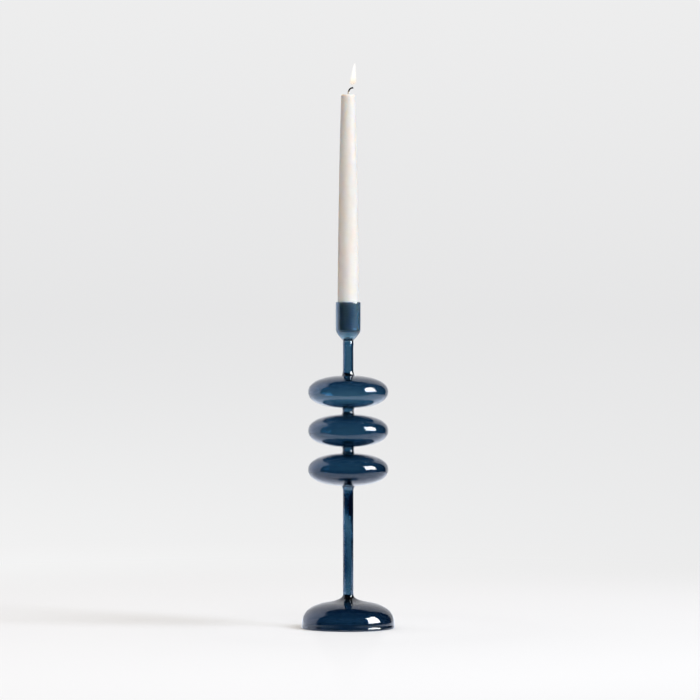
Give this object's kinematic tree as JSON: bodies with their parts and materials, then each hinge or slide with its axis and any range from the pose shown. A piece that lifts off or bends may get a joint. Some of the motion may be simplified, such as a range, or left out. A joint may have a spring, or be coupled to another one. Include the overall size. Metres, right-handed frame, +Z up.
{
  "type": "glass candlestick",
  "caption": "Tall dark blue blown glass candlestick with stacked hollow discs on a tube stem, a domed foot and a taper candle that lifts out of its socket.",
  "frame": {"origin": "on the candlestick's axis, on the plane that the foot stands on", "axes": "+Z up along the axis, towards the candle; +X towards the side that the burned wick leans to"},
  "size_m": [0.0976, 0.0976, 0.5664],
  "materials": {
    "blue_glass": "polished, transparent",
    "candle_wax": "satin wax",
    "wick_cotton": "burned cotton",
    "flame": "glowing gas"
  },
  "bodies": {
    "holder": {"foot": "blue_glass", "lower_stem": "blue_glass", "stem_collar": "blue_glass", "lower_disc": "blue_glass", "lower_neck": "blue_glass", "middle_disc": "blue_glass", "upper_neck": "blue_glass", "upper_disc": "blue_glass", "upper_stem": "blue_glass", "candle_cup": "blue_glass"},
    "candle": {"taper_candle": "candle_wax", "wick": "wick_cotton"}
  },
  "joints": [
    {"name": "candle_lift", "type": "slide", "parent": "holder", "child": "candle", "axis": [0, 0, 1], "range_m": [0, 0.032]}
  ]
}
